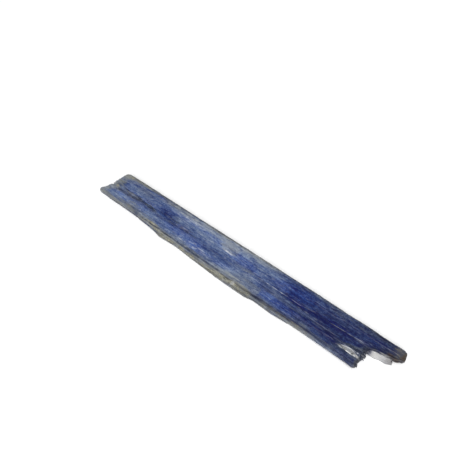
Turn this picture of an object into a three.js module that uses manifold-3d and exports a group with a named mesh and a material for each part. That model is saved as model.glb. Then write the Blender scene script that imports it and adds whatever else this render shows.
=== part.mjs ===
// A kyanite crystal: one thin blade of parallel laths, grown together side by side and broken at both ends.
// Millimetres, +Z up. +X runs along the blade to its long prong, +Y points to its straight back edge.
// The blade lies on its flat cleavage face. The origin is on that face, under the middle of the box
// around the blade.
//
// While it is built, x is measured from the square end of the back laths, and "back" and "front" are
// distances from the straight back edge towards the front, so y is minus that distance.
import * as THREE from "three";
import { LoftGeometry } from "three/addons/geometries/LoftGeometry.js";
import { mergeVertices } from "three/addons/utils/BufferGeometryUtils.js";
import Module from "manifold-3d";

// Driving dimensions, in millimetres
const BODY_LENGTH = 85.3; // from the square end to the break beside the prong
const PRONG_REACH = 7.5; // how far the back laths run on past the break
const PRONG_THICKNESS = 1.3; // the prong is thinner than the rest and stays clear of the ground
const WIDTH = 10.4; // across the broad face at mid length
const FANNING = 0.07; // share by which the blade is wider at the prong end than at the square end
const THICKNESS = 2.1; // between the broad faces, at mid length
const END_THINNING = 0.07; // share of the thickness lost at the two ends
const GROOVE_AT = 5.6; // from the back edge to the groove between the back and front laths
const FRONT_STEP = 0.16; // how much lower the laths in front of the groove lie
const FLANK_END = 90.5; // where the stepped flank under the prong's front edge ends
const SPLIT_FROM = 79.2; // where the split beside the front lath begins
const SPLIT_TO = 84.3; // where it closes again, just before the break
const SPLIT_AT = 7.75; // from the back edge to the middle of that split
const SPLIT_WIDTH = 1.25; // how far the split stands open
const LEDGE_HEIGHT = 1.05; // upper side of the lower ledge on the front side

// Plan of the two broken ends: pairs of distance from the back edge and x
const SQUARE_END = [
  [0, 0.3],
  [0.9, -0.55],
  [4, -1.05],
  [5.9, -0.95],
  [6.5, -1.45],
  [7.4, -1.8],
  [8.5, -1.75],
  [9.4, -2.6],
  [10.4, -2.4],
];
const BROKEN_END = [
  [4, 85.3],
  [5.3, 85.2],
  [6.3, 85],
  [7.2, 84.7],
  [8.2, 84.8],
  [9.8, 85],
  [10.4, 84.1],
];

// Sizes of the small forms
const CHAMFER = 0.14; // bevel along a lath's edges
const JOG = 0.09; // sideways step in a lath's long edge
const STEP_PACE = 7.5; // usual distance between two such steps
const STEP_SLANT = 0.3; // length of the slanted break at a step
const TERRACE_RISE = 0.12; // height of one cleavage step on the broad faces
const TERRACE_END = 4; // longest broken end of a terrace
const ROOT = 0.5; // how deep a terrace or rib is set into what it grows from

const PRONG_TIP = BODY_LENGTH + PRONG_REACH;
const MID = BODY_LENGTH / 2;

const wasm = await Module();
wasm.setup();

// The same pseudo-random numbers on every run
let seed = 23;
function random(low = 0, high = 1) {
  seed = (seed * 1664525 + 1013904223) % 4294967296;
  return low + ((high - low) * seed) / 4294967296;
}

// Height of the broad upper face above the resting face
function topAt(x) {
  const share = (x - MID) / MID;
  return THICKNESS * (1 - END_THINNING * share * share);
}

// Distance from the back edge once the blade's widening towards the prong is applied
function fanned(x, across) {
  return across * (1 + (FANNING * (x - MID)) / BODY_LENGTH);
}

// Where a broken end lies at a given distance from the back edge
function endAt(plan, across) {
  const next = Math.max(1, plan.findIndex(([at]) => at >= across));
  const [[at0, x0], [at1, x1]] = [plan[next - 1], plan[next]];
  return THREE.MathUtils.mapLinear(across, at0, at1, x0, x1);
}

function solid(shape) {
  const skin = new THREE.BufferGeometry().setAttribute("position", shape.attributes.position);
  const merged = mergeVertices(skin.setIndex(shape.index), 1e-4);
  return new wasm.Manifold(
    new wasm.Mesh({
      numProp: 3,
      vertProperties: merged.attributes.position.array,
      triVerts: new Uint32Array(merged.index.array),
    }),
  );
}

// One cross-section of a lath: an oblong with bevelled edges, turned to the slant of the cut.
function section({ x, back, front, bottom, top, slant = 0 }, bevels) {
  const limit = Math.min(front - back, top - bottom) * 0.45;
  const [a, b, c, d] = bevels.map((bevel) => Math.min(bevel, limit));
  const middle = (back + front) / 2;
  return [
    [back, bottom + a],
    [back, top - b],
    [back + b, top],
    [front - c, top],
    [front, top - c],
    [front, bottom + d],
    [front - d, bottom],
    [back + a, bottom],
  ].map(
    ([across, z]) => new THREE.Vector3(x + slant * (across - middle), -fanned(x, across), z),
  );
}

function loft(stations, chamfer = CHAMFER) {
  const bevels = [0, 1, 2, 3].map(() => chamfer * random(0.6, 1.5));
  const sections = stations.map((station) => section(station, bevels));
  return solid(new LoftGeometry(sections, { capStart: true, capEnd: true }));
}

// A lath that runs the whole length of the body. Its top follows the broad face, its long edges step in
// and out a little, and its two ends are cut off along the plan of the broken ends.
function lath({ back, front, bottom = 0, drop = 0, lift = 0, to }) {
  const middle = (back + front) / 2;
  const slantOf = (plan) => (endAt(plan, front) - endAt(plan, back)) / (front - back);
  const start = endAt(SQUARE_END, middle);
  const end = to ?? endAt(BROKEN_END, middle);
  const stations = [];
  let shift = [0, 0];
  const add = (x, slant = 0) =>
    stations.push({
      x,
      back: back + shift[0],
      front: front + shift[1],
      bottom: bottom + lift * THREE.MathUtils.smoothstep(x, end - 14, end - 4),
      top: topAt(x) - drop,
      slant,
    });
  add(start, slantOf(SQUARE_END));
  for (let x = start + STEP_PACE * random(0.4, 1); x < end - 2; x += STEP_PACE * random(0.6, 1.4)) {
    add(x);
    shift = [random(-JOG, JOG), random(-JOG, JOG)];
    add(x + STEP_SLANT * random(1, 3));
  }
  add(end, to ? 0 : slantOf(BROKEN_END));
  return loft(stations);
}

// The outline of one end of a terrace, from its tip inwards: pairs of x and share of the full width. The
// width grows in sudden steps, because the cleavage breaks back lath by lath.
function brokenTip(tip, inward, reach) {
  const steps = [
    [0.08, 0.3],
    [0.65, 1],
  ];
  const outline = [];
  let x = tip;
  for (const [start, end] of steps) {
    const run = (reach / steps.length) * random(0.5, 1.4);
    outline.push([x, start], [x + inward * run, end]);
    x += inward * (run + STEP_SLANT);
  }
  return outline;
}

// A thin cleavage terrace on the upper or lower face, with straight long edges and two broken ends
function terrace({ from, to, back, front, rise, upper = true }) {
  const reach = Math.min(0.25 * (to - from), TERRACE_END);
  const halves = [brokenTip(from, 1, reach), brokenTip(to, -1, reach).reverse()];
  const stations = halves.flatMap((outline) => {
    const lean = random();
    return outline.map(([x, share]) => {
      const width = (front - back) * share;
      const start = back + (front - back - width) * lean;
      const surface = upper ? topAt(x) : 0;
      return {
        x,
        back: start,
        front: start + width,
        bottom: upper ? surface - ROOT : surface,
        top: upper ? surface + rise : surface + rise + ROOT,
      };
    });
  });
  return loft(stations, CHAMFER / 2);
}

// A narrow rib along one of the long sides. "out" is how far it stands out of the side.
function rib({ from, to, side, out, bottom, top }) {
  const taper = Math.min(3, (to - from) / 4);
  const outline = [
    [from, 0.2],
    [from + taper, 1],
    [(from + to) / 2, random(0.7, 1)],
    [to - taper, 1],
    [to, 0.2],
  ];
  return loft(
    outline.map(([x, share]) => {
      const reach = out * share;
      const [back, front] = side === "back" ? [-reach, ROOT] : [WIDTH - ROOT, WIDTH + reach];
      return { x, back, front, bottom, top };
    }),
  );
}

// A long, flat, upright octahedron, to be cut away as a V-shaped groove that fades out at both ends
function groove({ from, to, at, width, depth, drift = 0, upper = true }) {
  const middle = (from + to) / 2;
  const cutter = new THREE.OctahedronGeometry(1)
    .scale((to - from) / 2, width / 2, depth)
    .rotateZ(Math.atan2(-drift, to - from))
    .translate(middle, -fanned(middle, at), upper ? topAt(middle) : 0);
  return solid(cutter);
}

// A tilted octahedron, to be cut away as a flake struck off an edge, or added as a lump
function nugget({ x, at, z, length, size }) {
  const shape = new THREE.OctahedronGeometry(1)
    .rotateX(random(0, Math.PI))
    .scale(length / 2, size, size)
    .rotateY(random(-0.12, 0.12))
    .rotateZ(random(-0.1, 0.1))
    .translate(x, -fanned(x, at), z);
  return solid(shape);
}

// The broad back lath. It runs on into the prong, whose front edge is broken back in steps to a blunt,
// rounded tip, and whose lower half is broken away.
function backLath() {
  const prongBottom = THICKNESS - PRONG_THICKNESS;
  const body = [
    { x: -0.9, back: 1, front: GROOVE_AT - 0.1, slant: -0.07 },
    { x: -0.5, back: 0.55, front: GROOVE_AT - 0.05, slant: -0.05 },
    { x: 0.3, back: 0.22, front: GROOVE_AT },
    { x: 27, back: 0.24, front: GROOVE_AT + 0.2 },
    { x: 28, back: 0.2, front: GROOVE_AT + 0.3 },
    { x: 38, back: 0.22, front: GROOVE_AT - 0.15 },
    { x: 66, back: 0.2, front: GROOVE_AT - 0.3 },
    { x: 71, back: 0.24, front: GROOVE_AT - 1 },
    { x: BODY_LENGTH - 5, back: 0.2, front: GROOVE_AT - 1.1 },
  ];
  const prong = [
    { x: BODY_LENGTH + 0.4, back: 0.25, front: GROOVE_AT - 1.1 },
    { x: BODY_LENGTH + 1.7, back: 0.22, front: GROOVE_AT - 1.6 },
    { x: BODY_LENGTH + 2.9, back: 0.25, front: GROOVE_AT - 1.75 },
    { x: BODY_LENGTH + 4.3, back: 0.22, front: GROOVE_AT - 1.9 },
    { x: PRONG_TIP - 1.7, back: 0.25, front: GROOVE_AT - 2 },
    { x: PRONG_TIP - 0.8, back: 0.26, front: GROOVE_AT - 2.5 },
    { x: PRONG_TIP - 0.25, back: 0.35, front: GROOVE_AT - 2.75 },
    { x: PRONG_TIP, back: 0.75, front: GROOVE_AT - 3.15 },
  ];
  return loft([
    ...body.map((station) => ({ ...station, bottom: 0.1, top: topAt(station.x) })),
    ...prong.map((station) => ({ ...station, bottom: prongBottom, top: topAt(station.x) })),
  ]);
}

// The laths side by side, from the back edge to the front edge
function longLaths() {
  const prongEdge = PRONG_TIP - 0.6;
  const lower = FRONT_STEP;
  return [
    lath({ back: 0, front: 1.2, bottom: 0.3, drop: 0.2, lift: 0.7, to: prongEdge }),
    backLath(),
    lath({ back: 0.7, front: 3.4, bottom: 0.15, drop: 0.5, to: BODY_LENGTH + 0.6 }),
    lath({ back: 3.1, front: 6.2, drop: lower + 0.12 }),
    lath({ back: 4.3, front: 7.4, bottom: 0.15, drop: lower }),
    lath({ back: 6.6, front: 8.6, drop: lower + 0.04 }),
    lath({ back: 7.9, front: WIDTH - 0.35, bottom: 0.05, drop: lower, lift: 0.5 }),
    lath({ back: 9.3, front: WIDTH, bottom: 0.2, drop: lower + 0.2, lift: 0.5 }),
  ];
}

// Cleavage terraces: broad ones that show on the upper face, then slivers spread by chance
function terraces() {
  const broad = [
    { from: 1.5, to: 36, back: 1.8, front: 3.6, rise: 0.14 },
    { from: 12, to: 66, back: 3.1, front: 4.9, rise: 0.1 },
    { from: 39.8, to: 45, back: 0.6, front: 4.1, rise: 0.18 },
    { from: 43, to: 79, back: 1.1, front: 2.7, rise: 0.12 },
    { from: 62, to: 91, back: 0.8, front: 2.2, rise: 0.1 },
    { from: 71, to: 84.6, back: 3.4, front: 4.45, rise: 0.13 },
    { from: -0.4, to: 17, back: 6.2, front: 7.9, rise: 0 },
    { from: 13, to: 47, back: 6.7, front: 9.1, rise: -0.04 },
    { from: 49, to: 70, back: 5.5, front: 6.6, rise: 0 },
    { from: 56, to: 78, back: 7.1, front: 8, rise: -0.03 },
    { from: 61, to: 84, back: 8.7, front: 9.6, rise: -0.05 },
  ];
  const slivers = Array.from({ length: 16 }, () => {
    const from = random(2, 66);
    const back = random(0.5, WIDTH - 1.4);
    const ground = back < GROOVE_AT ? 0 : -FRONT_STEP;
    return {
      from,
      to: from + random(6, 17),
      back,
      front: back + random(0.35, 0.9),
      rise: ground + random(0.5, 1.4) * TERRACE_RISE,
    };
  });
  return [...broad, ...slivers].map(terrace);
}

// The lower face: three broad flats that the blade rests on
function restingFlats() {
  const flats = [
    { from: 3, to: 82, back: 1.5, front: 3.7, rise: 0.3 },
    { from: 6, to: 84, back: 4.6, front: 6.3, rise: 0.2 },
    { from: 4, to: 77, back: 7.3, front: 9.3, rise: 0.25 },
  ];
  return flats.map((flat) => terrace({ ...flat, upper: false }));
}

// Ledges and ribs on the two long sides. The lower front ledge stands out most at mid length.
function sideForms() {
  const outline = [
    [14, 0.05],
    [20.5, 0.45],
    [23.5, 0.95],
    [29, 0.62],
    [36, 0.85],
    [45, 1.05],
    [54, 0.95],
    [56.3, 0.4],
    [62.5, 0.45],
    [67, 0.05],
  ];
  const lowerLedge = loft(
    outline.map(([x, reach]) => ({
      x,
      back: WIDTH - 1.2,
      front: WIDTH + reach,
      bottom: 0.04,
      top: LEDGE_HEIGHT,
    })),
  );
  const lump = nugget({ x: 47.5, at: WIDTH + 0.55, z: LEDGE_HEIGHT - 0.1, length: 3.4, size: 0.5 });
  const ribs = [
    { from: 24, to: 53, side: "front", out: 0.35, bottom: 0.9, top: 1.45 },
    { from: 1, to: 24, side: "front", out: 0.12, bottom: 0.35, top: 0.8 },
    { from: 44, to: 66, side: "front", out: 0.2, bottom: 1.2, top: 1.6 },
    { from: 62, to: 78, side: "front", out: 0.08, bottom: 0.6, top: 1.1 },
    { from: 2, to: 40, side: "back", out: 0.14, bottom: 0.45, top: 0.85 },
    { from: 26, to: 74, side: "back", out: 0.2, bottom: 0.5, top: 1.25 },
    { from: 55, to: 84, side: "back", out: 0.12, bottom: 0.4, top: 0.8 },
  ].map(rib);
  return [lowerLedge, lump, ...ribs];
}

// The flank under the prong's front edge: three thin ledges, each one lower and further out than the last
function flank() {
  const ledges = [
    { front: 4.2, bottom: 0.85, top: 1.4, to: FLANK_END - 1 },
    { front: 4.5, bottom: 0.45, top: 0.95, to: FLANK_END - 0.4 },
    { front: 4.8, bottom: 0.06, top: 0.5, to: FLANK_END },
  ];
  return ledges.map(({ front, bottom, top, to }) => {
    const outline = [
      [BODY_LENGTH - 3, 0],
      [BODY_LENGTH + 1, random(0, 0.12)],
      [BODY_LENGTH + 3, random(-0.08, 0.08)],
      [to - 0.8, random(0, 0.12)],
      [to, 0.6],
    ];
    return loft(
      outline.map(([x, loss]) => ({ x, back: 2.4, front: front - loss, bottom, top })),
      CHAMFER / 2,
    );
  });
}

// Short splinters between the laths, which make the two broken ends ragged
function endSplinters() {
  const made = [];
  const addAlong = (plan, inward, reach, back, front) => {
    for (let at = back; at < front; at += random(0.4, 0.8)) {
      const bottom = random(0.2, 0.7);
      const side = { back: at, front: at + random(0.35, 0.7), bottom, top: bottom + random(0.4, 0.8) };
      const tip = endAt(plan, at) - inward * (reach + random(-0.25, 0.25));
      const stations = [
        { x: tip, slant: random(-0.5, 0.5), ...side },
        { x: tip + inward * random(1.2, 2.5), slant: random(-0.5, 0.5), ...side },
      ];
      made.push(loft(inward > 0 ? stations : stations.reverse()));
    }
  };
  addAlong(SQUARE_END, 1, 0.1, 0.8, WIDTH - 0.8);
  addAlong(BROKEN_END, -1, 0.85, 4.6, 7.4);
  addAlong(BROKEN_END, -1, 0.3, 7.6, WIDTH - 0.8);
  return made;
}

// The split beside the front lath, a long wedge that runs through the whole thickness
function split() {
  const openings = [
    [SPLIT_FROM, 0.05, 0.1],
    [SPLIT_FROM + 1.5, 0.7, 0.1],
    [SPLIT_FROM + 3, 1, 0.05],
    [SPLIT_TO - 0.8, 0.75, 0.2],
    [SPLIT_TO, 0.1, 0.5],
  ];
  return loft(
    openings.map(([x, share, drift]) => ({
      x,
      back: SPLIT_AT + drift - (SPLIT_WIDTH * share) / 2,
      front: SPLIT_AT + drift + (SPLIT_WIDTH * share) / 2,
      bottom: -1,
      top: THICKNESS + 1,
    })),
  );
}

// Grooves between laths on both broad faces, and flakes struck off the long edges
function cuts() {
  const grooves = [
    { from: 3, to: 21, at: GROOVE_AT + 0.1, width: 0.6, depth: 0.5 },
    { from: 16, to: 40, at: GROOVE_AT + 0.4, width: 0.5, depth: 0.45, drift: 0.2 },
    { from: 46, to: 66, at: GROOVE_AT - 0.2, width: 0.35, depth: 0.35 },
    { from: 67, to: 88, at: GROOVE_AT - 1, width: 0.5, depth: 0.45 },
    { from: 44, to: 58, at: 6.7, width: 0.25, depth: 0.35 },
    { from: 66, to: 86, at: 6.45, width: 0.3, depth: 0.45 },
    { from: 8, to: 30, at: 8.2, width: 0.25, depth: 0.35, drift: 0.4 },
    { from: 50, to: 75, at: 1.5, width: 0.25, depth: 0.3 },
    { from: -5, to: 33, at: 2.4, width: 0.5, depth: 0.25, upper: false },
    { from: 28, to: 70, at: 5.4, width: 0.4, depth: 0.3, drift: 0.3, upper: false },
    { from: 50, to: 90, at: 8.3, width: 0.6, depth: 0.25, drift: -0.3, upper: false },
  ].map(groove);
  const flakes = Array.from({ length: 12 }, (_, i) => {
    const front = i % 2 === 0;
    const x = 4 + i * 6.8 + random(-2, 2);
    return nugget({
      x,
      at: front ? WIDTH + 0.05 : -0.05,
      z: topAt(x) - random(0.2, 0.55),
      length: random(1.5, 4.5),
      size: random(0.16, 0.3),
    });
  });
  return [...grooves, ...flakes];
}

function crystalGeometry() {
  const join = (whole, piece) => whole.add(piece);
  const cut = (whole, piece) => whole.subtract(piece);
  const pieces = [...longLaths(), ...flank(), ...terraces(), ...restingFlats(), ...sideForms()];
  const grown = pieces.reduce(join);
  const ragged = endSplinters().reduce(join, grown.subtract(split()));
  const mesh = cuts().reduce(cut, ragged).getMesh();
  return new THREE.BufferGeometry()
    .setAttribute("position", new THREE.BufferAttribute(mesh.vertProperties, 3))
    .setIndex(new THREE.BufferAttribute(mesh.triVerts, 1));
}

function kyaniteBlade() {
  const geometry = crystalGeometry();
  geometry.computeVertexNormals();
  geometry.computeBoundingBox();
  const material = new THREE.MeshStandardMaterial({ color: 0x39508c, roughness: 0.35, metalness: 0 });
  const blade = new THREE.Mesh(geometry, material);
  blade.name = "kyanite_blade";
  const centre = geometry.boundingBox.getCenter(new THREE.Vector3());
  blade.position.set(-centre.x, -centre.y, -geometry.boundingBox.min.z);
  return blade;
}

const crystal = new THREE.Group();
crystal.name = "kyanite_crystal";
crystal.add(kyaniteBlade());

export default crystal;
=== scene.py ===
"""A kyanite crystal: a long, flat, blue blade of parallel laths, dressed over its CAD solid.

Places on the blade are given in millimetres as (along, across). "along" runs from the square end to the tip
of the prong, and "across" from the straight back edge to the front edge.
"""

import math

import bpy
import numpy as np
from mathutils import Matrix, Vector


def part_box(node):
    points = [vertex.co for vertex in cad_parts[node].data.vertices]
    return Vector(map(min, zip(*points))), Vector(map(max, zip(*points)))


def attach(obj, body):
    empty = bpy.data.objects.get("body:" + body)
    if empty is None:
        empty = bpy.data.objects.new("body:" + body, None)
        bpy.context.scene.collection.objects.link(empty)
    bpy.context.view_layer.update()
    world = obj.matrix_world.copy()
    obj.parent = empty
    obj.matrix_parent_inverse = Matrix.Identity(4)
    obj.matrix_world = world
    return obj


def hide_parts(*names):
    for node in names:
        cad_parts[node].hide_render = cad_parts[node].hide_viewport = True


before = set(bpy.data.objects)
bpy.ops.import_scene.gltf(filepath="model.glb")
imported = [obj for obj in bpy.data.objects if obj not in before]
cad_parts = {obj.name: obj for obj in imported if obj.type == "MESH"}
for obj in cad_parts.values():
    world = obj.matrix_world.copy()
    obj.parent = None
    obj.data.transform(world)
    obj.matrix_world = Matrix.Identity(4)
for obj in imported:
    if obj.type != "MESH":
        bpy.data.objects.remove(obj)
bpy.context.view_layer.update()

MM = 0.001

# Where the blade's own measures start, in the frame, in millimetres
SQUARE_END_X = -45.1
BACK_EDGE_Y = 5.65

# Body of the blade behind the prong, in millimetres, and the share by which it widens from end to end
BODY_LENGTH = 85.3
BODY_WIDTH = 10.25
WIDENING = 0.07

# Height of the broad face, and how far marks on the long sides shift forwards for each millimetre below it
FACE_HEIGHT = 2.05
SIDE_SLANT = 0.545

# Mesh of the dressed crystal, in millimetres
VOXEL = 0.1
LONGER_ALONG = 3.0
HEADROOM = 0.03

# Cleavage laths: (width, greatest length), in millimetres
BROAD_LATHS = (1.15, 22)
MIDDLE_LATHS = (0.8, 6)
SLENDER_LATHS = (0.55, 12)
NARROW_LATHS = (0.37, 9)

# Cleavage relief in millimetres, from the lowest point to the highest
BROAD_STEPS = 0.07
NARROW_STEPS = 0.055
STRIATIONS = 0.04
STRIATION_GRAIN = (5, 0.2)  # length and width
CHIPS = 0.025
CHIP_GRAIN = (0.9, 0.3)
ROUGHER_SIDES = 1.4  # how much stronger it is on the long sides

# Seeds of the relief and the splinters. The broad laths of the upper side are painted too
UPPER_SEED = 11
LOWER_SEED = 29
BACK_SEED = 47
FRONT_SEED = 61
SPLINTER_SEED = 83

# Splinters on the broken ends, in millimetres
SPLINTERS = 0.15
FINE_SPLINTERS = 0.2
LONGER_SPLINTERS = 0.35  # added between the next two edges across the blade
LONGER_FROM = (3, 3.6)
LONGER_TO = (8.2, 7.4)
SMOOTHER_LEDGES = 0.7  # share by which they are shorter on the pale ledges
LEDGES_FROM = (86, 87)  # where those ledges start along the blade
SPLINTER_WIDTH = 0.45
SPLINTER_HEIGHT = 0.35

# Noises of the masks: (seed, length and width of the grains in millimetres)
STREAK = (5, 6, 0.7)
FINE = (6, 1.6, 0.3)
GRAIN = (7, 0.5, 0.3)
FIBRES = (8, 1.2, 0.2)
SPECKS = (9, 0.6, 0.25)

# Camera, solved from the photograph: place and sensor width in millimetres, angles in degrees
CAMERA_PLACE = (51.537, -58.411, 107.713)
CAMERA_AZIMUTH = 42.372
CAMERA_ELEVATION = 49.562
CAMERA_ROLL = -2.457
CAMERA_LENS = 40.0
CAMERA_SENSOR = 36.0

# Lights: (name, direction from the crystal, distance, size, power), in metres and watts
LIGHTS = [
    ("overhead", (0.3, -0.4, 1), 2.6, 1.8, 63),
    ("front", (0.6, -0.9, 0.6), 2.2, 1.2, 18),
    ("back", (-0.6, 0.8, 0.35), 2.2, 1.2, 8),
]
WORLD_STRENGTH = 0.25

# Floor: side in metres, and brightness
FLOOR_SIZE = 3.0
FLOOR_BRIGHTNESS = 0.93

# A zone of the blade has edges along it, across it and upwards, in millimetres. An edge says where the
# share of the zone is still 0 and where it's already 1.

# Small corrections of the outline: (shift along, shift across, edges along, edges across, edges upwards)
CORRECTIONS = [
    (-0.38, 0, [(1.5, -2.2)], [(8, 9.6)], []),  # front corner of the square end
    (0, 0.12, [(6, 2)], [(8.6, 10)], []),  # front edge beside it
    (0.15, 0, [(87.5, 90)], [(3, 3.8)], [(1.5, 1.3)]),  # outer end of the pale ledges under the prong
    (0.35, 0, [(87.5, 90)], [(3, 3.8), (4.8, 4.2)], [(1.5, 1.3)]),  # back half of that end
    (0, 0.4, [(85.5, 86.2), (88.5, 87)], [(4, 4.6), (5.6, 5.2)], [(1, 0.5)]),  # foot of those ledges
    (-0.3, 0, [(84, 85)], [(5.5, 6.2), (7.6, 7.2)], []),  # middle of the break
    (0.12, 0.12, [(82.5, 84.5)], [(8.2, 9)], []),  # front corner beside the break
    (0.22, 0, [(90.5, 92.3)], [(0.8, 2.2)], []),  # front half of the prong's tip
    (0, -0.22, [(88.5, 90.5)], [(1.8, 2.8)], [(0.7, 0.9)]),  # front edge beside that tip
]

# Zones that are painted in their own way: (edges along, across and upwards)
FLANK = ([(85.6, 86.6), (91.3, 91)], [(3.5, 3.8)], [])  # pale ledges under the prong
BREAK_FACE = ([(84.9, 85.3)], [(4.2, 4.5), (8.2, 7.8)], [(0.3, 0.6), (1.6, 1.3)])
BREAK_LINE = ([(84.3, 84.8), (86.2, 85.6)], [(4.3, 4.6)], [])
STUB_RIM = ([(84, 84.8)], [(7.6, 8)], [])
SPLIT = ([(79.6, 80.4), (83.8, 82.8)], [(6.9, 7.1), (8.9, 8.6)], [])
UNDER_PRONG = ([(84.8, 85.6), (88.8, 88)], [], [(1.3, 1.45)])
UNDER_TIP = ([(89.4, 90.2)], [], [(1.9, 1.65)])
PRONG_RIM = ([(89.4, 92.4)], [], [])
TIP_RIM = ([(88.8, 89.8)], [(2.7, 3.2)], [])

# Other edges of the painting, in millimetres along the blade
DEEPER_BLUE = (52, 66)
NEAR_SQUARE_END = (17, 9)
SQUARE_RIM = (2.9, 0.3)
FLANK_RISES = (88, 89)
FLANK_GREYS = (87, 90.5)
TIP_END = (91.9, 92.3)

# The same across it, from the back edge
BACK_RIM = (1.1, 0.4)
BACK_RIM_WIDER = 0.6  # at the square end
BACK_SIDE = (1.2, 0.6)
TIP_MIDDLE = 1.5

# The same across it, from the front edge
FRONT_RIM = (-0.8, 0.1)
FRONT_SIDE = (-1.2, -0.6)

# The same upwards
FOOT = (0.7, 0.2)
FLANK_HEIGHT = (1.5, 1.35)
FLANK_RISE = 0.5  # how much higher the pale ledges are painted near the tip


def srgb(red, green, blue):
    """Scene-linear colour of an 8-bit screen colour."""
    shares = [value / 255 for value in (red, green, blue)]
    linear = [s / 12.92 if s <= 0.04045 else ((s + 0.055) / 1.055) ** 2.4 for s in shares]
    return (*linear, 1.0)


def smoothstep(nought, full, value):
    """Goes softly from 0 at one place to 1 at another, which may lie before it or after it."""
    share = np.clip((value - nought) / (full - nought), 0, 1)
    return share * share * (3 - 2 * share)


class Noise:
    """Smooth random values from 0 to 1 on a plane, the same on every run."""

    SIZE = 256

    def __init__(self, seed):
        self.table = np.random.default_rng(seed).random((self.SIZE, self.SIZE))

    def cell(self, i, j):
        """The random value of one cell."""
        return self.table[i % self.SIZE, j % self.SIZE]

    def __call__(self, x, y):
        i = np.floor(x).astype(int)
        j = np.floor(y).astype(int)
        u = smoothstep(0, 1, x - i)
        v = smoothstep(0, 1, y - j)
        near = self.cell(i, j) * (1 - u) + self.cell(i + 1, j) * u
        far = self.cell(i, j + 1) * (1 - u) + self.cell(i + 1, j + 1) * u
        return near * (1 - v) + far * v


def laths(seed, along, across, pitch, longest):
    """A random value from 0 to 1 for each cleavage lath: narrow strips, in lengths with ragged ends."""
    noise = Noise(seed)
    wander = noise(along / 60, across / 3 + 7) * 0.8
    strip = np.floor((across + wander) / pitch).astype(int)
    length = longest * (0.35 + 0.65 * noise.cell(strip, 11))
    ragged = 2.2 * noise(along / 2, across / 0.12)
    part = np.floor((along + ragged) / length + 9 * noise.cell(strip, 23)).astype(int)
    return noise.cell(strip + 31, part)


def relief(seed, along, across):
    """Height of the cleavage relief in millimetres: broad laths, narrow laths, striations and chips."""
    broad = laths(seed, along, across, *BROAD_LATHS) - 0.5
    narrow = laths(seed + 1, along, across, *NARROW_LATHS) - 0.5
    hair = Noise(seed + 2)(along / STRIATION_GRAIN[0], across / STRIATION_GRAIN[1]) - 0.5
    chips = Noise(seed + 3)(along / CHIP_GRAIN[0], across / CHIP_GRAIN[1]) - 0.5
    return BROAD_STEPS * broad + NARROW_STEPS * narrow + STRIATIONS * hair + CHIPS * chips


def fracture(seed, across, height):
    """How far the broken ends stick out, in millimetres: splinters of different length."""
    noise = Noise(seed)
    column = np.floor(across / SPLINTER_WIDTH + noise(across / 1.3, height / 0.9) * 2).astype(int)
    row = np.floor(height / SPLINTER_HEIGHT + noise.cell(column, 3)).astype(int)
    longer = smoothstep(*LONGER_FROM, across) * smoothstep(*LONGER_TO, across)
    reach = SPLINTERS + LONGER_SPLINTERS * longer
    fine = FINE_SPLINTERS * (noise(across / 0.2, height / 0.2) - 0.5)
    return reach * (noise.cell(column, row) - 0.5) + fine


def mesh_array(mesh, name, width):
    data = np.empty(len(mesh.vertices) * width, np.float32)
    mesh.vertices.foreach_get(name, data)
    return data.reshape(-1, width).astype(float)


def dense_mesh(node):
    """An even, fine mesh of a CAD node in millimetres, with cells that are longer along the blade."""
    copy = bpy.data.objects.new("dense", node.data.copy())
    bpy.context.scene.collection.objects.link(copy)
    copy.data.transform(Matrix.Diagonal((1 / (MM * LONGER_ALONG), 1 / MM, 1 / MM, 1)))
    remesh = copy.modifiers.new("even cells", "REMESH")
    remesh.mode = "VOXEL"
    remesh.voxel_size = VOXEL
    evaluated = copy.evaluated_get(bpy.context.evaluated_depsgraph_get())
    mesh = bpy.data.meshes.new_from_object(evaluated)
    bpy.data.objects.remove(copy)
    mesh.transform(Matrix.Diagonal((LONGER_ALONG, 1, 1, 1)))
    mesh.update()
    return mesh


def convexity(mesh, points, normals):
    """How far each point stands out of its neighbours, along its normal, in millimetres."""
    edges = np.empty(len(mesh.edges) * 2, np.int32)
    mesh.edges.foreach_get("vertices", edges)
    a, b = edges.reshape(-1, 2).T
    total = np.zeros_like(points)
    count = np.zeros(len(points))
    for one, other in ((a, b), (b, a)):
        np.add.at(total, one, points[other])
        np.add.at(count, one, 1)
    return ((points - total / count[:, None]) * normals).sum(1)


def zone(edges, along, across, height):
    """Share of a zone at each point."""
    share = np.ones_like(along)
    for places, value in zip(edges, (along, across, height)):
        for nought, full in places:
            share *= smoothstep(nought, full, value)
    return share


def stretch(points, along, across, height):
    """Makes the small corrections of the outline."""
    for forwards, outwards, *edges in CORRECTIONS:
        share = zone(edges, along, across, height)
        points[:, 0] += forwards * share
        points[:, 1] -= outwards * share


def carve(mesh, top):
    """Moves the points of the mesh outwards and inwards by the cleavage relief and the broken ends."""
    points = mesh_array(mesh, "co", 3)
    normals = mesh_array(mesh, "normal", 3)
    along = points[:, 0] - SQUARE_END_X
    across = BACK_EDGE_Y - points[:, 1]
    height = points[:, 2]
    facing = smoothstep(0.55, 0.9, np.abs(normals))
    side = np.sign(normals)
    upwards = height * 1.3
    upper, lower = (relief(seed, along, across) for seed in (UPPER_SEED, LOWER_SEED))
    back, front = (relief(seed, along, upwards) for seed in (BACK_SEED, FRONT_SEED))
    flat = np.where(side[:, 2] > 0, upper, lower)
    edge = np.where(side[:, 1] > 0, back, front) * ROUGHER_SIDES
    ends = fracture(SPLINTER_SEED, across, height) * (1 - SMOOTHER_LEDGES * smoothstep(*LEDGES_FROM, along))
    points[:, 2] += side[:, 2] * facing[:, 2] * flat
    points[:, 1] += side[:, 1] * facing[:, 1] * edge
    points[:, 0] += side[:, 0] * facing[:, 0] * ends
    stretch(points, along, across, height)
    points[:, 2] = np.clip(points[:, 2], 0, top)
    mesh.vertices.foreach_set("co", points.astype(np.float32).ravel())
    mesh.update()


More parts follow.
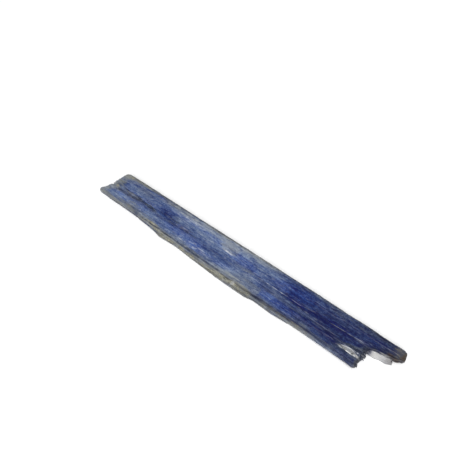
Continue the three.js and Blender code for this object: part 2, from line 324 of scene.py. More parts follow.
# Soft patches: (along, across, half length, half width, strength). More depth is darker
DEPTH_PATCHES = [
    (34, 1.5, 15, 1.2, -0.26),  # whitish fibres along the back
    (33, 3.8, 9, 0.8, -0.16),  # the same, further in
    (37.5, 3, 4, 0.5, -0.14),
    (46.5, 2.2, 3, 0.7, -0.24),
    (48.7, 3, 1.2, 0.4, 0.2),
    (47, 4.2, 2.5, 0.6, -0.16),
    (30, 1, 8, 0.4, -0.1),
    (44.5, 3, 2, 0.6, 0.2),
    (7, 1.4, 5, 0.5, 0.1),
    (10, 3.8, 8, 1.2, -0.08),
    (3.5, 4.1, 3, 0.7, 0.14),
    (14, 4.6, 4.5, 0.5, 0.2),
    (6.5, 8.3, 4.5, 1.1, -0.12),
    (-1.6, 9.6, 1.4, 1.2, 0.12),  # front corner of the square end
    (1.5, 10.9, 5, 0.9, 0.15),
    (0, 1, 1.8, 1.4, 0.16),
    (11, 8.1, 2, 0.4, 0.14),
    (25, 10.1, 1.8, 0.4, -0.16),
    (15, 11.2, 11, 0.5, 0.25),
    (17, 9.7, 4.5, 0.8, -0.16),
    (18.5, 8.1, 5, 0.5, -0.12),
    (20.5, 10.8, 5, 0.5, -0.28),
    (16, 0.8, 4, 0.5, 0.14),
    (34, 9.7, 5, 0.5, -0.12),
    (23, 1.4, 3.5, 0.6, -0.2),
    (30.5, 1, 3, 0.5, -0.12),
    (8, 6.4, 9, 0.7, 0.16),  # in front of the groove
    (21, 5.2, 3.6, 1.4, 0.27),  # dark zone where the groove ends
    (21, 6.8, 9, 0.6, 0.24),
    (27, 6, 8, 0.8, 0.2),  # deep blue that follows from it
    (37, 6.2, 6, 1.2, 0.1),
    (32, 5.3, 5, 0.5, 0.1),
    (48, 6.1, 9, 0.9, 0.06),
    (34, 8, 8, 1, 0.04),
    (46, 7.6, 4, 0.6, 0.1),
    (48, 8.8, 3, 1.2, -0.12),
    (51.5, 1.3, 7, 0.7, -0.32),  # lighter streak near the back edge
    (55.5, 1.8, 4.5, 1, -0.22),
    (66, 1.8, 9, 0.7, -0.22),
    (80, 2.6, 3.5, 0.5, -0.12),
    (82, 5.7, 3, 0.5, -0.12),
    (53.5, 3, 4, 0.6, -0.12),
    (58.5, 3.7, 2.4, 0.8, 0.14),
    (48, 6.9, 3.5, 0.8, -0.1),
    (71, 1, 2.5, 0.5, -0.16),
    (44, 7.2, 3.5, 0.5, 0.12),
    (52.5, 6.8, 3, 0.8, -0.12),
    (75, 8.2, 6, 0.4, 0.12),
    (51, 9.6, 5, 0.5, -0.12),
    (47, 11, 2.5, 0.6, -0.12),
    (75, 9.3, 5, 0.4, -0.1),
    (75, 8.8, 6, 0.5, 0.1),
    (56, 7.1, 2.4, 0.4, 0.2),
    (40.5, 4.5, 2, 0.4, 0.14),
    (72, 4.7, 5, 0.4, 0.12),
    (90, 3.2, 3, 0.5, 0.18),
    (60, 7.4, 5, 1.2, -0.08),
    (67.5, 9.3, 4, 0.5, -0.16),
    (54, 4.7, 5, 0.5, 0.1),
    (66, 3.4, 5.5, 0.5, -0.22),
    (84, 3.4, 5, 0.4, -0.12),
    (92, 1, 2, 0.6, -0.06),
    (91.6, 2, 2.2, 1.7, 0.42),  # tip of the prong
    (41, 10.5, 3.5, 0.4, 0.3),
    (52, 10.7, 4.5, 0.4, 0.3),  # behind the front edge
    (60, 10.7, 5.5, 0.4, 0.35),
    (73, 10.6, 8, 0.4, 0.16),
    (84, 11, 2, 0.8, 0.3),
    (78, 7.5, 2.5, 0.4, 0.12),
    (61, 6.4, 9, 0.7, 0.08),
    (73, 5.4, 9, 0.9, 0.22),  # darkest band
    (66.5, 5.6, 3, 0.5, 0.12),
    (75, 3.3, 4, 0.5, 0.1),
    (79, 8.4, 5, 1, 0.04),  # beside the split
    (45, 9.9, 5, 1, -0.36),  # pale strip above the ledge
    (26, 10.9, 10, 0.6, -0.12),  # upper side of the lower ledge
    (41, 11, 7, 0.6, -0.14),
    (72, 11, 10, 0.5, -0.43),  # greyish front edge before the break
    (61, 11.1, 4, 0.5, -0.2),
    (14, 0.5, 14, 0.5, 0.12),  # back rim near the square end
    (1.5, 3.9, 1.2, 0.6, 0.15),  # single laths, from the square end to the prong
    (6, 5.4, 2.5, 0.4, 0.15),
    (6.5, 3.4, 2, 0.6, -0.1),
    (9.5, 4.8, 2, 0.5, -0.1),
    (12.5, 6.5, 2, 0.4, 0.15),
    (14.5, 5.7, 2, 0.4, -0.1),
    (14, 7.5, 2, 0.5, -0.08),
    (18, 10.3, 2.5, 0.4, -0.12),
    (20, 6.2, 1.8, 0.4, -0.14),
    (20.5, 9.7, 1.5, 0.4, 0.12),
    (22.5, 1.3, 1.8, 0.5, -0.12),
    (24, 2.2, 3, 0.4, 0.1),
    (24.2, 4.5, 1.5, 0.9, -0.14),
    (27, 5.7, 2.5, 0.35, 0.12),
    (28.7, 3.8, 1.2, 0.8, -0.1),
    (30, 1.2, 1.6, 0.5, -0.12),
    (30, 6.3, 3.5, 0.3, -0.12),
    (30, 7.1, 3, 0.3, 0.14),
    (31, 8, 2.5, 0.5, -0.12),
    (34.5, 4.1, 2, 0.5, -0.1),
    (36, 10.3, 3, 0.6, -0.14),
    (42.5, 5, 1.6, 0.4, -0.14),
    (44, 5.8, 2, 0.3, 0.1),
    (44.5, 1.4, 1.8, 0.6, 0.12),
    (46.5, 10.9, 2.5, 0.6, -0.18),
    (47.5, 8.2, 3.5, 0.7, -0.1),
    (48, 1.4, 2, 0.5, -0.14),
    (50.2, 11.3, 1.5, 0.4, 0.25),
    (53.5, 5.9, 2, 0.35, -0.16),
    (55.5, 10, 2.5, 0.5, 0.15),
    (56, 1.4, 2.5, 0.5, -0.16),
    (60.3, 1.4, 1.5, 0.6, -0.12),
    (62.3, 2.9, 2, 0.4, 0.12),
    (66.5, 7.8, 1.5, 0.7, 0.12),
    (71, 10.7, 3.5, 0.4, 0.14),
    (76, 10.5, 3, 0.6, -0.14),
    (77, 4.4, 2, 0.8, 0.16),
    (87, 0.4, 2.5, 0.4, 0.2),
]
GREY_PATCHES = [
    (32, 1.4, 14, 1.2, 0.4),  # whitish fibres along the back
    (24, 1.1, 7, 0.8, 0.6),
    (60.5, 6.9, 5.5, 0.6, 0.45),
    (49, 5.7, 3.5, 0.6, 0.35),
    (69.5, 9, 2.5, 0.7, 0.35),
    (65, 7.5, 6, 0.4, 0.35),
    (81.5, 9.3, 3.5, 0.7, 0.5),
    (11, 9.1, 10, 0.4, 0.45),
    (52, 1.2, 9, 1, 0.45),
    (79, 1, 9, 0.9, 0.35),
    (88.5, 3, 3, 0.9, 0.3),
    (46, 9.9, 9, 0.8, 0.5),  # above the ledge
    (75, 2.5, 3.5, 1.1, 0.2),  # grey streaks near the prong
    (73, 7, 8, 0.5, 0.2),
    (80, 5, 12, 5, 0.18),
    (10, 3.1, 4, 1, 0.35),
    (5, 1.7, 6, 0.5, 0.35),
    (8, 7, 5, 0.5, 0.35),
    (0.8, 7.2, 2, 0.8, 0.4),
    (51.5, 8, 3, 2, 0.3),
    (20.5, 10.9, 5, 0.5, 0.5),
    (63, 11.3, 4, 0.4, 0.5),
    (39.5, 9.2, 3, 0.5, 0.35),
    (10, 8.3, 2, 0.7, 0.35),
    (29.5, 9.3, 3, 0.6, 0.35),
    (49, 9.4, 3, 1, 0.35),
    (14, 10.1, 12, 0.8, 0.8),
    (1.5, 2.3, 2.5, 0.8, 0.3),
    (2, 5.2, 1.5, 0.5, 0.4),
    (9, 8, 4.5, 0.4, 0.3),
    (24, 5, 1.5, 1.5, 0.3),
    (48, 10.2, 5, 0.5, 0.4),
    (57, 6.1, 5, 0.4, 0.3),
    (91.5, 2.9, 1.2, 0.7, 0.8),
    (0, 3.4, 1.6, 3, 0.9),  # square end
    (-1.1, 8.4, 1.7, 2, 0.9),
    (0.8, 6, 2, 1.5, 0.5),
    (82.3, 7.7, 3.2, 1.1, 0.7),  # around the split
    (90, 2.3, 3, 2, 0.4),  # prong
    (84.8, 6.8, 1.6, 2.4, 0.8),  # the break
    (70, 10.5, 16, 0.8, 0.75),
]
OLIVE_PATCHES = [
    (0.7, 5.9, 0.9, 0.6, 0.75),  # knob at the square end
    (6.5, 5.9, 4, 0.4, 0.4),  # pockets in the groove
    (0.8, 1.2, 2, 1.2, 0.4),  # corner and back rim
    (5, 0.7, 4.5, 0.7, 0.4),
    (10, 0.5, 5, 0.5, 0.25),
    (19, 9.9, 2.6, 0.45, 1.1),
    (10, 9.8, 3, 0.4, 0.5),
    (27.5, 5.7, 3.5, 0.5, 0.25),
    (19.5, 10.7, 5.5, 0.5, 0.8),
    (27, 11.1, 8, 0.7, 0.8),  # the lower ledge
    (38, 11.3, 13, 0.7, 0.55),
    (49, 11, 6, 1, 0.85),
    (5, 10.4, 8, 0.5, 0.5),
    (66, 10.9, 8, 0.5, 0.5),
    (91.5, 1.5, 1.7, 1.4, 0.35),  # tip of the prong
    (32, 12.1, 22, 0.6, 0.6),  # foot of the front side
    (62, 11.8, 12, 0.5, 0.35),
    (49, 11.2, 2, 0.5, 0.6),  # lump
]
VIVID_PATCHES = [
    (7.5, 7.6, 8, 1.1, 0.5),  # front lath at the square end
    (10, 5.2, 8, 0.5, 0.5),
    (20, 4.6, 5, 1.8, 0.2),
    (28, 7.4, 7, 1.5, 0.65),
    (28, 5.7, 3, 0.6, 0.9),
    (17, 1, 3.5, 0.5, 0.7),
    (66, 5.4, 3, 0.5, 0.8),
    (35.5, 8.8, 5, 0.9, 0.5),
    (33, 2.6, 11, 0.8, 0.4),
    (47.5, 4.2, 5, 1.4, 0.6),
    (44, 8.3, 4, 0.6, 0.4),
    (63, 8.4, 8, 1.2, 0.65),
    (64, 3.4, 6, 2, 0.65),
    (76, 5, 8, 0.8, 0.55),
    (82, 7, 3, 0.7, 0.5),
    (56.5, 10.4, 5, 0.6, 0.5),
    (29, 2.2, 5, 0.5, 0.4),
    (40, 3.2, 2.5, 0.8, 0.5),
    (44, 2, 2, 0.7, 0.4),
    (59, 7.2, 2.5, 0.5, 0.4),
    (66, 5.5, 3, 0.5, 0.5),
    (66.5, 10.3, 3, 0.5, 0.6),
    (74, 2.8, 3, 1, 0.5),
    (77, 4.8, 4, 0.5, 0.5),
    (79, 8.2, 3, 0.8, 0.4),
]
GLINT_PATCHES = [
    (28.5, 5.8, 4.5, 0.5, 0.45),
    (32, 8.6, 7, 0.9, 0.45),
    (30, 2, 10, 1.4, 0.4),
    (71, 6.2, 4, 0.4, 0.3),
    (48.5, 11, 3.5, 0.8, 0.4),
    (18.5, 10.1, 2.5, 0.35, 0.9),
    (50, 3, 9, 2, 0.2),
    (84, 7.2, 1, 0.7, 0.9),  # between the split and the break
]

# Rim of the split, painted pale: painted light from the bright floor seen through the split
SPLIT_RIM = [
    (81, 8.4, 1.4, 0.25, 0.7),
    (82, 8.1, 1.3, 0.45, 1),
    (83.6, 8.45, 1, 0.3, 1),
]

# Upper rim of the pale ledges under the prong
FLANK_TOP = [
    (89.4, 4.15, 1.6, 0.3, 0.85),
]

# Cleavage flakes of another colour, ragged at their start and cut off sharply at their end:
# (from, to, back side, front side, change of depth, grey share)
FLAKES = [
    (38.5, 45, 1, 4.2, -0.17, 0.6),
    (45.2, 52, 2.8, 5.1, 0.16, 0),
    (50.5, 56.7, 7.9, 10.2, -0.12, 0.5),
    (57, 67.5, 7.3, 9.6, -0.12, 0),
    (60.8, 69.6, 1.1, 4.4, 0.13, 0),
    (72.5, 77, 1.5, 3, -0.1, 0.3),
]

# Thin lines along the blade: (from, to, across at the start, across at the end, half width, strength)
# Dark lines are partly painted shade: in the groove, under the edges of steps and at the feet of the ledges
DARK_LINES = [
    (9, 17.5, 5.8, 6.15, 0.42, 1.0),  # the groove
    (1.5, 11, 6.7, 6.3, 0.27, 0.95),
    (2.5, 11, 5.3, 5.45, 0.25, 0.95),
    (3, 10, 5.85, 5.9, 0.3, 0.4),
    (-0.5, 2.2, 5.1, 5.1, 0.28, 0.6),  # beside the knob
    (1.7, 3, 6.5, 6.8, 0.3, 0.9),
    (16, 26, 5.5, 5.3, 0.16, 0.5),
    (24, 31, 5.15, 5.25, 0.16, 0.7),
    (22, 33, 6.4, 6, 0.22, 0.7),
    (15, 45, 10.25, 10.35, 0.2, 1.0),  # above the lower ledge
    (45, 68, 10.65, 10.7, 0.16, 0.8),
    (20, 44, 11, 11.2, 0.1, 0.5),
    (20, 44, 11.8, 12, 0.2, 0.7),
    (10, 29, 11.2, 12.3, 0.22, 0.5),  # foot of the lower ledge
    (39, 45, 12.2, 12.1, 0.2, 0.5),
    (54, 60, 12.1, 11.5, 0.2, 0.5),
    (44, 57, 12, 11.8, 0.2, 0.7),
    (46.5, 48, 10.9, 11.6, 0.12, 0.8),  # around the lump
    (48, 51, 11.75, 11.6, 0.12, 0.7),
    (67, 84.5, 5.05, 4.75, 0.2, 0.5),
    (62, 80, 6.25, 6.5, 0.12, 0.6),
    (85.5, 91, 4.35, 3.75, 0.34, 1.0),  # front edge of the prong
    (82.5, 84.8, 7, 6.6, 0.12, 0.8),
    (83.5, 84.9, 5.6, 5.2, 0.12, 0.7),
    (1.5, 45, 0.2, 0.25, 0.32, 0.9),  # back edge
    (45, 92, 0.15, 0.2, 0.25, 0.6),
    (84, 92, 0.4, 0.4, 0.3, 0.4),
    (89, 92.8, 3.65, 2.9, 0.18, 0.9),  # lower rim of the prong's tip
]
# White lines along the blade: partly white streaks and the flake's white broken edge, partly painted
# highlights on the edges of steps and on the split's rims
WHITE_LINES = [
    (56.5, 63, 5.5, 5.5, 0.08, 1.0),
    (53.5, 67, 5.5, 5.5, 0.06, 0.3),
    (46.5, 61, 6.5, 6.65, 0.06, 0.3),
    (75, 84, 4.85, 4.45, 0.06, 0.35),
    (68, 78, 6.95, 6.9, 0.06, 0.3),
    (40.5, 44.6, 4.2, 4.35, 0.2, 1.0),  # broken edge of the flake
    (28, 31, 8.9, 9, 0.09, 0.8),
    (35, 38, 8.1, 8.2, 0.09, 0.7),
    (10.5, 16, 5.3, 5.45, 0.06, 0.4),
    (80.8, 82.8, 8, 8.3, 0.25, 1.0),  # rims of the split
    (79, 84.8, 8.6, 8.65, 0.12, 1.0),
]


class Surface:
    """The points of a mesh in the blade's own measures, with the noises that the masks share."""

    def __init__(self, mesh):
        points = mesh_array(mesh, "co", 3)
        normals = mesh_array(mesh, "normal", 3)
        self.along = points[:, 0] - SQUARE_END_X
        self.across = BACK_EDGE_Y - points[:, 1]
        self.height = points[:, 2]
        self.seen = self.across + SIDE_SLANT * (FACE_HEIGHT - self.height)
        self.aside = self.across + 0.6 * self.height
        self.sideways = smoothstep(0.5, 0.95, np.abs(normals[:, 1]))
        self.forwards = smoothstep(0.3, 0.7, -normals[:, 1])
        self.bulge = convexity(mesh, points, normals)
        self.streak = self.noise(*STREAK)
        self.fine = self.noise(*FINE)
        self.grain = self.noise(*GRAIN)
        self.knots = Noise(10)(self.along / 0.9, self.across * 0)
        self.sway = 0.8 * (self.streak - 0.5) + 0.45 * (self.fine - 0.5)
        self.fray = 0.9 * (self.streak - 0.5) + 0.5 * (self.fine - 0.5)
        self.toward_prong = smoothstep(*DEEPER_BLUE, self.along + 7 * (self.streak - 0.5))

    def noise(self, seed, length, width):
        """Smooth random values, with grains of this length and width in millimetres."""
        return Noise(seed)(self.along / length, self.aside / width)

    def zone(self, edges, along=0.0, across=0.0):
        """Share of a zone, with its edges shifted along and across the blade."""
        return zone(edges, self.along + along, self.across + across, self.height)


def patches(places, at, loose=1.0):
    """Sum of soft-edged patches, which fray out along the laths where they're loose."""
    total = np.zeros_like(at.along)
    for along, across, half_length, half_width, strength in places:
        far = np.hypot((at.along - along) / half_length, (at.seen - across) / half_width)
        total += strength * smoothstep(1.3, 0.5, far + loose * at.sway)
    return total


def flakes(at):
    """Change of depth and grey share of the flakes."""
    change = np.zeros_like(at.along)
    share = np.zeros_like(at.along)
    for start, end, back, front, deeper, greyer in FLAKES:
        inside = smoothstep(start, start + 2, at.along + 3 * at.sway)
        inside *= smoothstep(0.4, -0.1, at.along - end + 0.5 * at.sway)
        inside *= smoothstep(-0.2, 0.5, at.seen - back + at.sway)
        inside *= smoothstep(0.2, -0.3, at.seen - front + 0.6 * at.sway)
        change += deeper * inside
        share = np.maximum(share, greyer * inside)
    return change, share


def lines(places, at):
    """Strongest of the thin lines, which waver, swell and shrink a little, and fade out at both ends."""
    strongest = np.zeros_like(at.along)
    waver = 0.2 * (Noise(13)(at.along / 2.5, at.across * 0) - 0.5)
    for start, end, at_start, at_end, half_width, strength in places:
        share = np.clip((at.along - start) / (end - start), 0, 1)
        aside = np.abs(at.seen - at_start - (at_end - at_start) * share - waver)
        aside /= half_width * (0.5 + at.knots)
        faded = smoothstep(start - 0.6, start + 1, at.along) * smoothstep(end + 0.6, end - 1, at.along)
        strongest = np.maximum(strongest, strength * faded * smoothstep(1.4, 0.6, aside))
    return strongest


def find_rims(at):
    """Shares of the weathered rims: back, front, square end, broken ends and steep long sides."""
    width = BODY_WIDTH * (1 + WIDENING * (at.along / BODY_LENGTH - 0.5))
    from_front = at.across - width
    wider = BACK_RIM_WIDER * smoothstep(*NEAR_SQUARE_END, at.along)
    back = smoothstep(BACK_RIM[0] + wider, BACK_RIM[1], at.across + 0.7 * at.fray)
    front = smoothstep(*FRONT_RIM, from_front + 0.9 * at.fray) * (1 - 0.35 * at.toward_prong)
    square = smoothstep(*SQUARE_RIM, at.along + 1.4 * at.fray + 0.2 * at.across)
    prong = at.zone(PRONG_RIM, along=1.6 * at.fray)
    stub = at.zone(STUB_RIM, along=0.6 * at.fray)
    at_side = np.maximum(smoothstep(*BACK_SIDE, at.across), smoothstep(*FRONT_SIDE, from_front))
    steep = at.sideways * (1 - 0.5 * at.toward_prong) * at_side
    return back, front, square, np.maximum(0.8 * prong, stub), steep


def find_depth(at):
    """Depth of the blue, apart from the rims and flakes; deeper in hollows, as painted shade."""
    depth = 0.42 + 0.37 * at.toward_prong + patches(DEPTH_PATCHES, at)
    depth += 0.16 * (laths(UPPER_SEED, at.along, at.across, *BROAD_LATHS) - 0.5)
    depth += 0.1 * (laths(12, at.along, at.across, *SLENDER_LATHS) - 0.5)
    depth += 0.1 * (laths(15, at.along, at.across, *MIDDLE_LATHS) - 0.5)
    depth += 0.12 * (at.fine - 0.5) + 0.2 * (at.grain - 0.5)
    # Deeper, darker blue in hollows: painted shade
    return depth + 0.2 * smoothstep(0.004, 0.03, -at.bulge)


def find_flank(at):
    """Share of the pale ledges under the prong."""
    rise = FLANK_RISE * smoothstep(*FLANK_RISES, at.along)
    flank = at.zone(FLANK) * smoothstep(*FLANK_HEIGHT, at.height - rise)
    return flank * (1 - 0.3 * smoothstep(*FLANK_GREYS, at.along))


def find_white_and_highlights(at, depth, in_split):
    """Share of the white: fibres, painted glints and painted edge highlights, white lines, and the split's
    painted light.
    """
    white = 0.25 * smoothstep(0.66, 0.9, at.noise(*FIBRES))
    # Lighter on convex edges: painted edge highlights
    white += 0.08 * smoothstep(0.004, 0.02, at.bulge)
    white *= 1.1 - depth
    specks = smoothstep(0.62, 0.85, at.noise(*SPECKS))
    white += patches(GLINT_PATCHES, at) * specks
    # The split's walls are pushed towards white: painted light from the bright floor seen through the split
    white = np.maximum(white, in_split * (0.5 + 0.5 * specks))
    dashes = smoothstep(0.25, 0.6, at.knots)
    return np.maximum(white, lines(WHITE_LINES, at) * (0.35 + 0.65 * dashes))


def find_brown(at, flank, flank_top):
    """Share of the brown rim of the prong's tip."""
    front = at.zone(TIP_RIM, across=0.4 * at.sway)
    end = smoothstep(*TIP_END, at.along + 0.25 * (at.across - TIP_MIDDLE))
    return np.maximum(front, 0.6 * end) * (1 - flank) * (1 - flank_top)


def find_dark_and_shade(at, flank, break_face):
    """Share of the dark lines, which are partly painted shade, of the dark break line, and of the painted
    shade on the undersides.
    """
    grooves = lines(DARK_LINES, at) * (0.6 + 0.6 * at.fine)
    break_line = at.zone(BREAK_LINE, along=0.7 * at.sway) * (1 - 0.2 * break_face)
    under_prong = at.zone(UNDER_PRONG) * at.forwards
    under_tip = at.zone(UNDER_TIP) * (1 - flank)
    return np.maximum.reduce([grooves, 0.85 * break_line, 0.9 * under_prong, 0.8 * under_tip])


def store(mesh, name, *channels):
    """Keeps four values from 0 to 1 for each point as one colour attribute."""
    data = np.stack(channels, 1)
    layer = mesh.color_attributes.new(name, "FLOAT_COLOR", "POINT")
    layer.data.foreach_set("color", np.clip(data, 0, 1).astype(np.float32).ravel())


def paint(mesh):
    """Works out where the crystal is deep or pale blue, grey, white, olive, brown or dark."""
    at = Surface(mesh)
    flake_depth, flake_grey = flakes(at)
    back_rim, front_rim, square_rim, broken_rim, steep = find_rims(at)
    flank = find_flank(at)
    flank_top = patches(FLANK_TOP, at, loose=0.4)
    break_face = at.zone(BREAK_FACE)
    in_split = at.zone(SPLIT) * at.forwards
    split_rim = patches(SPLIT_RIM, at, loose=0.6)

    depth = find_depth(at) + flake_depth
    depth += 0.12 * steep * (1 - at.toward_prong) - 0.08 * back_rim - 0.25 * square_rim
    # Darker towards the foot of the long sides: painted shade near the floor
    depth += 0.2 * steep * smoothstep(*FOOT, at.height)

    back_rim = back_rim * (1 - 0.25 * at.toward_prong)
    rims = np.maximum.reduce([back_rim, front_rim, square_rim, broken_rim, steep])
    greyness = np.maximum.reduce([patches(GREY_PATCHES, at), 0.95 * rims, flake_grey])
    pale = np.maximum.reduce([0.9 * flank, 0.15 * break_face, in_split, split_rim, flank_top])
    white = find_white_and_highlights(at, depth, in_split)
    store(mesh, "masks", depth, greyness, white, pale)

    olive = np.maximum(patches(OLIVE_PATCHES, at) * (0.45 + 0.9 * at.grain), 0.25 * broken_rim)
    dark = find_dark_and_shade(at, flank, break_face)
    brown = find_brown(at, flank, flank_top)
    store(mesh, "marks", olive, dark, brown, patches(VIVID_PATCHES, at))


class Nodes:
    """Short helpers for building one material's node tree."""

    def __init__(self, name):
        self.material = bpy.data.materials.new(name)
        self.material.use_nodes = True
        self.tree = self.material.node_tree
        self.shader = self.tree.nodes["Principled BSDF"]

    def link(self, value, socket):
        if isinstance(value, bpy.types.NodeSocket):
            self.tree.links.new(value, socket)
        else:
            socket.default_value = value

    def add(self, kind, settings=None, inputs=None):
        node = self.tree.nodes.new(kind)
        for key, value in (settings or {}).items():
            setattr(node, key, value)
        for key, value in (inputs or {}).items():
            self.link(value, node.inputs[key])
        return node

    def math(self, operation, *values, clamp=False):
        inputs = dict(enumerate(values))
        return self.add("ShaderNodeMath", {"operation": operation, "use_clamp": clamp}, inputs).outputs[0]

    def noise(self, vector, scale, detail, roughness):
        """Noise stretched by a scale for each axis, in grains per millimetre."""
        stretched = self.add("ShaderNodeMapping", None, {"Vector": vector, "Scale": scale})
        inputs = {"Vector": stretched.outputs[0], "Scale": 1.0, "Detail": detail, "Roughness": roughness}
        return self.add("ShaderNodeTexNoise", None, inputs).outputs["Fac"]

    def ramp(self, value, stops):
        node = self.add("ShaderNodeValToRGB", None, {"Fac": value})
        elements = node.color_ramp.elements
        while len(elements) < len(stops):
            elements.new(0.5)
        for element, (position, colour) in zip(elements, stops):
            element.position = position
            element.color = colour
        return node.outputs["Color"]

    def mix(self, share, low, high, blend="MIX"):
        node = self.add("ShaderNodeMix", {"data_type": "RGBA", "blend_type": blend})
        self.link(share, node.inputs["Factor"])
        self.link(low, node.inputs[6])
        self.link(high, node.inputs[7])
        return node.outputs[2]


def grey(value):
    return (value, value, value, 1.0)


BLUES = [
    (0.0, srgb(123, 136, 159)),
    (0.2, srgb(98, 113, 142)),
    (0.4, srgb(73, 90, 128)),
    (0.6, srgb(45, 62, 108)),
    (0.8, srgb(19, 36, 84)),
    (1.0, srgb(0, 1, 65)),
]
VIVID_BLUES = [
    (0.0, srgb(115, 135, 175)),
    (0.2, srgb(90, 112, 160)),
    (0.4, srgb(64, 86, 144)),
    (0.6, srgb(36, 58, 123)),
    (0.8, srgb(1, 32, 97)),
    (1.0, srgb(0, 0, 75)),
]
GREYS = [
    (0.0, srgb(132, 134, 130)),
    (0.3, srgb(107, 110, 110)),
    (0.5, srgb(88, 93, 98)),
    (0.75, srgb(58, 65, 79)),
    (1.0, srgb(28, 36, 52)),
]
PALE = srgb(203, 202, 199)
WHITE = srgb(198, 202, 210)
OLIVES = [
    (0.35, srgb(81, 79, 71)),
    (0.65, srgb(169, 166, 144)),
]
BROWN = srgb(66, 48, 18)
DARK = srgb(19, 23, 40)
DARKEST_PALE = grey(0.36)

# Noises of the material: (grains per millimetre along, across and upwards), detail, roughness
STREAKS = ((0.12, 1.2, 1.2), 2.0, 0.5)
THREADS = ((0.8, 5.0, 5.0), 3.0, 0.6)
GRAINS = ((2.8, 3.6, 3.6), 3.0, 0.75)
CLOUDS = ((0.35, 0.8, 0.8), 3.0, 0.5)

# Surface: roughness, bumps with their height in millimetres, and reflection
SMOOTHEST = 0.2
ROUGHER = 0.3  # how much is added to it at most
BUMP_STRENGTH = 0.3
BUMP_HEIGHT = 0.03
REFRACTIVE_INDEX = 1.6
SPECULAR = 0.22


def crystal_material():
    nodes = Nodes("kyanite")
    place = nodes.add("ShaderNodeTexCoord").outputs["Object"]
    scaled = {"Vector": place, "Scale": 1 / MM}
    where = nodes.add("ShaderNodeVectorMath", {"operation": "SCALE"}, scaled).outputs[0]
    masks = nodes.add("ShaderNodeAttribute", {"attribute_name": "masks"}).outputs
    marks = nodes.add("ShaderNodeAttribute", {"attribute_name": "marks"}).outputs
    depth, grey_share, white = nodes.add("ShaderNodeSeparateColor", None, {"Color": masks["Color"]}).outputs
    olive, dark, brown = nodes.add("ShaderNodeSeparateColor", None, {"Color": marks["Color"]}).outputs

    streaks = nodes.noise(where, *STREAKS)
    threads = nodes.noise(where, *THREADS)
    grains = nodes.noise(where, *GRAINS)
    clouds = nodes.noise(where, *CLOUDS)

    def wobbled(value, noise, reach):
        """The value, moved up and down by up to half of the reach."""
        return nodes.math("ADD", value, nodes.math("MULTIPLY_ADD", noise, reach, -reach / 2))

    def speckled(share, noise, low, high):
        """The share, thinned out where the noise is low."""
        return nodes.math("MULTIPLY", share, nodes.ramp(noise, [(0.35, grey(low)), (0.65, grey(high))]))

    depth = wobbled(depth, streaks, 0.35)
    depth = wobbled(depth, threads, 0.3)
    depth = wobbled(depth, clouds, 0.4)
    depth = wobbled(depth, grains, 1.2)
    colour = nodes.mix(marks["Alpha"], nodes.ramp(depth, BLUES), nodes.ramp(depth, VIVID_BLUES))
    shade = wobbled(depth, clouds, 0.3)
    colour = nodes.mix(speckled(grey_share, streaks, 0.6, 1.0), colour, nodes.ramp(shade, GREYS))
    colour = nodes.mix(masks["Alpha"], colour, nodes.mix(grains, DARKEST_PALE, PALE))
    colour = nodes.mix(speckled(olive, clouds, 0.6, 1.0), colour, nodes.ramp(grains, OLIVES))
    colour = nodes.mix(speckled(brown, clouds, 0.6, 1.0), colour, BROWN)
    colour = nodes.mix(speckled(dark, threads, 0.5, 1.0), colour, DARK)
    colour = nodes.mix(speckled(white, threads, 0.3, 1.0), colour, WHITE)

    rough = nodes.math("MULTIPLY_ADD", clouds, ROUGHER, SMOOTHEST)
    height = nodes.math("MULTIPLY_ADD", threads, 0.6, streaks)
    height = nodes.math("MULTIPLY_ADD", grains, 0.4, height)
    bumps = {"Strength": BUMP_STRENGTH, "Distance": BUMP_HEIGHT * MM, "Height": height}
    bump = nodes.add("ShaderNodeBump", None, bumps)
    shader = nodes.shader.inputs
    nodes.link(colour, shader["Base Color"])
    nodes.link(rough, shader["Roughness"])
    nodes.link(bump.outputs[0], shader["Normal"])
    shader["IOR"].default_value = REFRACTIVE_INDEX
    shader["Specular IOR Level"].default_value = SPECULAR
    return nodes.material


def build_crystal():
    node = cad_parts["kyanite_blade"]
    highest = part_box("kyanite_blade")[1].z / MM
    mesh = dense_mesh(node)
    mesh.name = "kyanite_crystal"
    carve(mesh, highest + HEADROOM)
    paint(mesh)
    mesh.transform(Matrix.Scale(MM, 4))
    mesh.polygons.foreach_set("use_smooth", np.ones(len(mesh.polygons), bool))
    mesh.materials.clear()
    mesh.materials.append(crystal_material())
    mesh.update()
    crystal = bpy.data.objects.new("kyanite_crystal", mesh)
    bpy.context.scene.collection.objects.link(crystal)
    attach(crystal, "root")
    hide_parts("kyanite_blade")


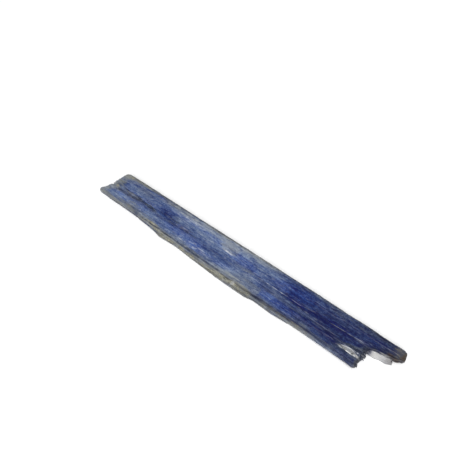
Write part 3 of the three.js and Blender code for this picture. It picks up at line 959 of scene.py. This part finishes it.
def build_floor():
    mesh = bpy.data.meshes.new("floor")
    half = FLOOR_SIZE / 2
    corners = [(-half, -half, 0), (half, -half, 0), (half, half, 0), (-half, half, 0)]
    mesh.from_pydata(corners, [], [(0, 1, 2, 3)])
    nodes = Nodes("floor")
    nodes.shader.inputs["Base Color"].default_value = grey(FLOOR_BRIGHTNESS)
    nodes.shader.inputs["Roughness"].default_value = 0.9
    nodes.shader.inputs["Specular IOR Level"].default_value = 0.1
    mesh.materials.append(nodes.material)
    floor = bpy.data.objects.new("floor", mesh)
    bpy.context.scene.collection.objects.link(floor)


def add_light(name, direction, distance, size, power):
    """A square soft light that faces the crystal."""
    light = bpy.data.lights.new(name, "AREA")
    light.size = size
    light.energy = power
    lamp = bpy.data.objects.new(name, light)
    towards = Vector(direction).normalized()
    lamp.location = towards * distance
    lamp.rotation_euler = towards.to_track_quat("Z", "Y").to_euler()
    bpy.context.scene.collection.objects.link(lamp)


def build_lights():
    for light in LIGHTS:
        add_light(*light)
    world = bpy.data.worlds.new("studio")
    world.use_nodes = True
    background = world.node_tree.nodes["Background"].inputs
    background["Color"].default_value = (1, 1, 1, 1)
    background["Strength"].default_value = WORLD_STRENGTH
    bpy.context.scene.world = world


def build_camera():
    azimuth, elevation, roll = map(math.radians, (CAMERA_AZIMUTH, CAMERA_ELEVATION, CAMERA_ROLL))
    level = math.cos(elevation)
    back = Vector((math.sin(azimuth) * level, -math.cos(azimuth) * level, math.sin(elevation)))
    right = Vector((0, 0, 1)).cross(back).normalized()
    up = back.cross(right)
    rolled_right = right * math.cos(roll) + up * math.sin(roll)
    rolled_up = up * math.cos(roll) - right * math.sin(roll)
    data = bpy.data.cameras.new("camera")
    data.lens = CAMERA_LENS
    data.sensor_width = CAMERA_SENSOR
    data.clip_start = 1 * MM
    data.clip_end = 10.0
    camera = bpy.data.objects.new("camera", data)
    turn = Matrix((rolled_right, rolled_up, back)).transposed().to_4x4()
    camera.matrix_world = Matrix.Translation(Vector(CAMERA_PLACE) * MM) @ turn
    bpy.context.scene.collection.objects.link(camera)
    bpy.context.scene.camera = camera


build_camera()
build_crystal()
build_floor()
build_lights()
bpy.context.scene.view_settings.view_transform = "Standard"
